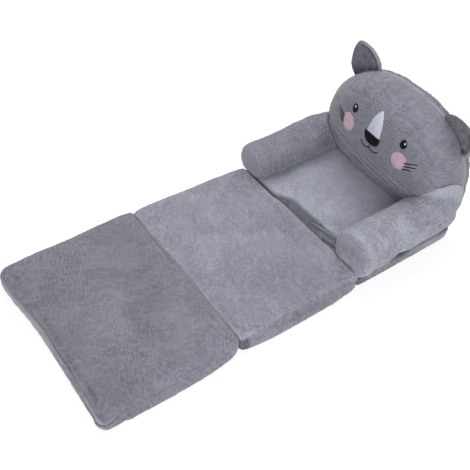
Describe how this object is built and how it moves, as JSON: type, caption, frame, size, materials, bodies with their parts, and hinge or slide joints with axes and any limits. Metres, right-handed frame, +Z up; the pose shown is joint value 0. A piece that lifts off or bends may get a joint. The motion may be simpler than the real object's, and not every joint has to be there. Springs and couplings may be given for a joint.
{
  "type": "folding children's sofa",
  "caption": "Plush floor sofa for a child: hinged flat panels that fold in a Z under the seat, bolster arms and a stuffed animal head as the backrest.",
  "frame": {"origin": "middle of the open sofa's footprint, on the floor", "axes": "+Z up, +Y along the open panels towards the head, +X to the right of someone who faces the sofa"},
  "size_m": [0.5651, 1.1834, 0.4149],
  "materials": {
    "plush": "short-pile plush, matt, with a brushed nap",
    "dark_plush": "short-pile plush, matt, darker where it folds",
    "base_cloth": "non-woven cloth with small dots, matt",
    "foam": "open-cell foam",
    "fibre": "loose polyester fibre",
    "zip_tape": "woven tape with a nylon coil",
    "slider_metal": "brushed",
    "black_thread": "satin-stitch embroidery",
    "white_thread": "satin-stitch embroidery",
    "pink_felt": "short-pile felt patch",
    "lilac_satin": "satin with a soft sheen"
  },
  "bodies": {
    "seat": {"seat_cover": "plush", "seat_base_sheet": "base_cloth", "seat_foam_core": "foam", "seat_zip": "zip_tape", "middle_hinge_strip": "dark_plush", "head_front": "plush", "head_rear": "plush", "head_filling": "fibre", "left_arm_sleeve": "plush", "left_arm_disc": "plush", "left_arm_filling": "fibre", "right_arm_sleeve": "plush", "right_arm_disc": "plush", "right_arm_filling": "fibre", "left_ear": "dark_plush", "right_ear": "dark_plush", "left_eye": "black_thread", "right_eye": "black_thread", "left_eye_glint": "white_thread", "right_eye_glint": "white_thread", "left_cheek": "pink_felt", "right_cheek": "pink_felt", "left_whisker_1": "black_thread", "left_whisker_2": "black_thread", "left_whisker_3": "black_thread", "right_whisker_1": "black_thread", "right_whisker_2": "black_thread", "right_whisker_3": "black_thread", "blaze": "lilac_satin", "nose": "black_thread", "mouth_line": "black_thread"},
    "middle": {"middle_cover": "plush", "middle_base_sheet": "base_cloth", "middle_foam_core": "foam", "middle_zip": "zip_tape", "end_hinge_strip": "dark_plush"},
    "end": {"end_cover": "plush", "end_base_sheet": "base_cloth", "end_foam_core": "foam", "end_zip": "zip_tape"},
    "seat_slider": {"seat_zip_slider": "slider_metal"},
    "middle_slider": {"middle_zip_slider": "slider_metal"},
    "end_slider": {"end_zip_slider": "slider_metal"}
  },
  "joints": [
    {"name": "middle_fold", "type": "hinge", "parent": "seat", "child": "middle", "pos_m": [0, 0.16775, -0.0005], "axis": [1, 0, 0], "range_deg": [0, 179], "deforming": ["middle_hinge_strip"]},
    {"name": "end_fold", "type": "hinge", "parent": "middle", "child": "end", "pos_m": [0, -0.21225, 0.0545], "axis": [-1, 0, 0], "range_deg": [0, 179], "deforming": ["end_hinge_strip"]},
    {"name": "seat_zip_slide", "type": "slide", "parent": "seat", "child": "seat_slider", "axis": [0, 1, 0], "range_m": [0, 0.228]},
    {"name": "middle_zip_slide", "type": "slide", "parent": "middle", "child": "middle_slider", "axis": [0, 1, 0], "range_m": [0, 0.228]},
    {"name": "end_zip_slide", "type": "slide", "parent": "end", "child": "end_slider", "axis": [0, 1, 0], "range_m": [0, 0.228]}
  ]
}
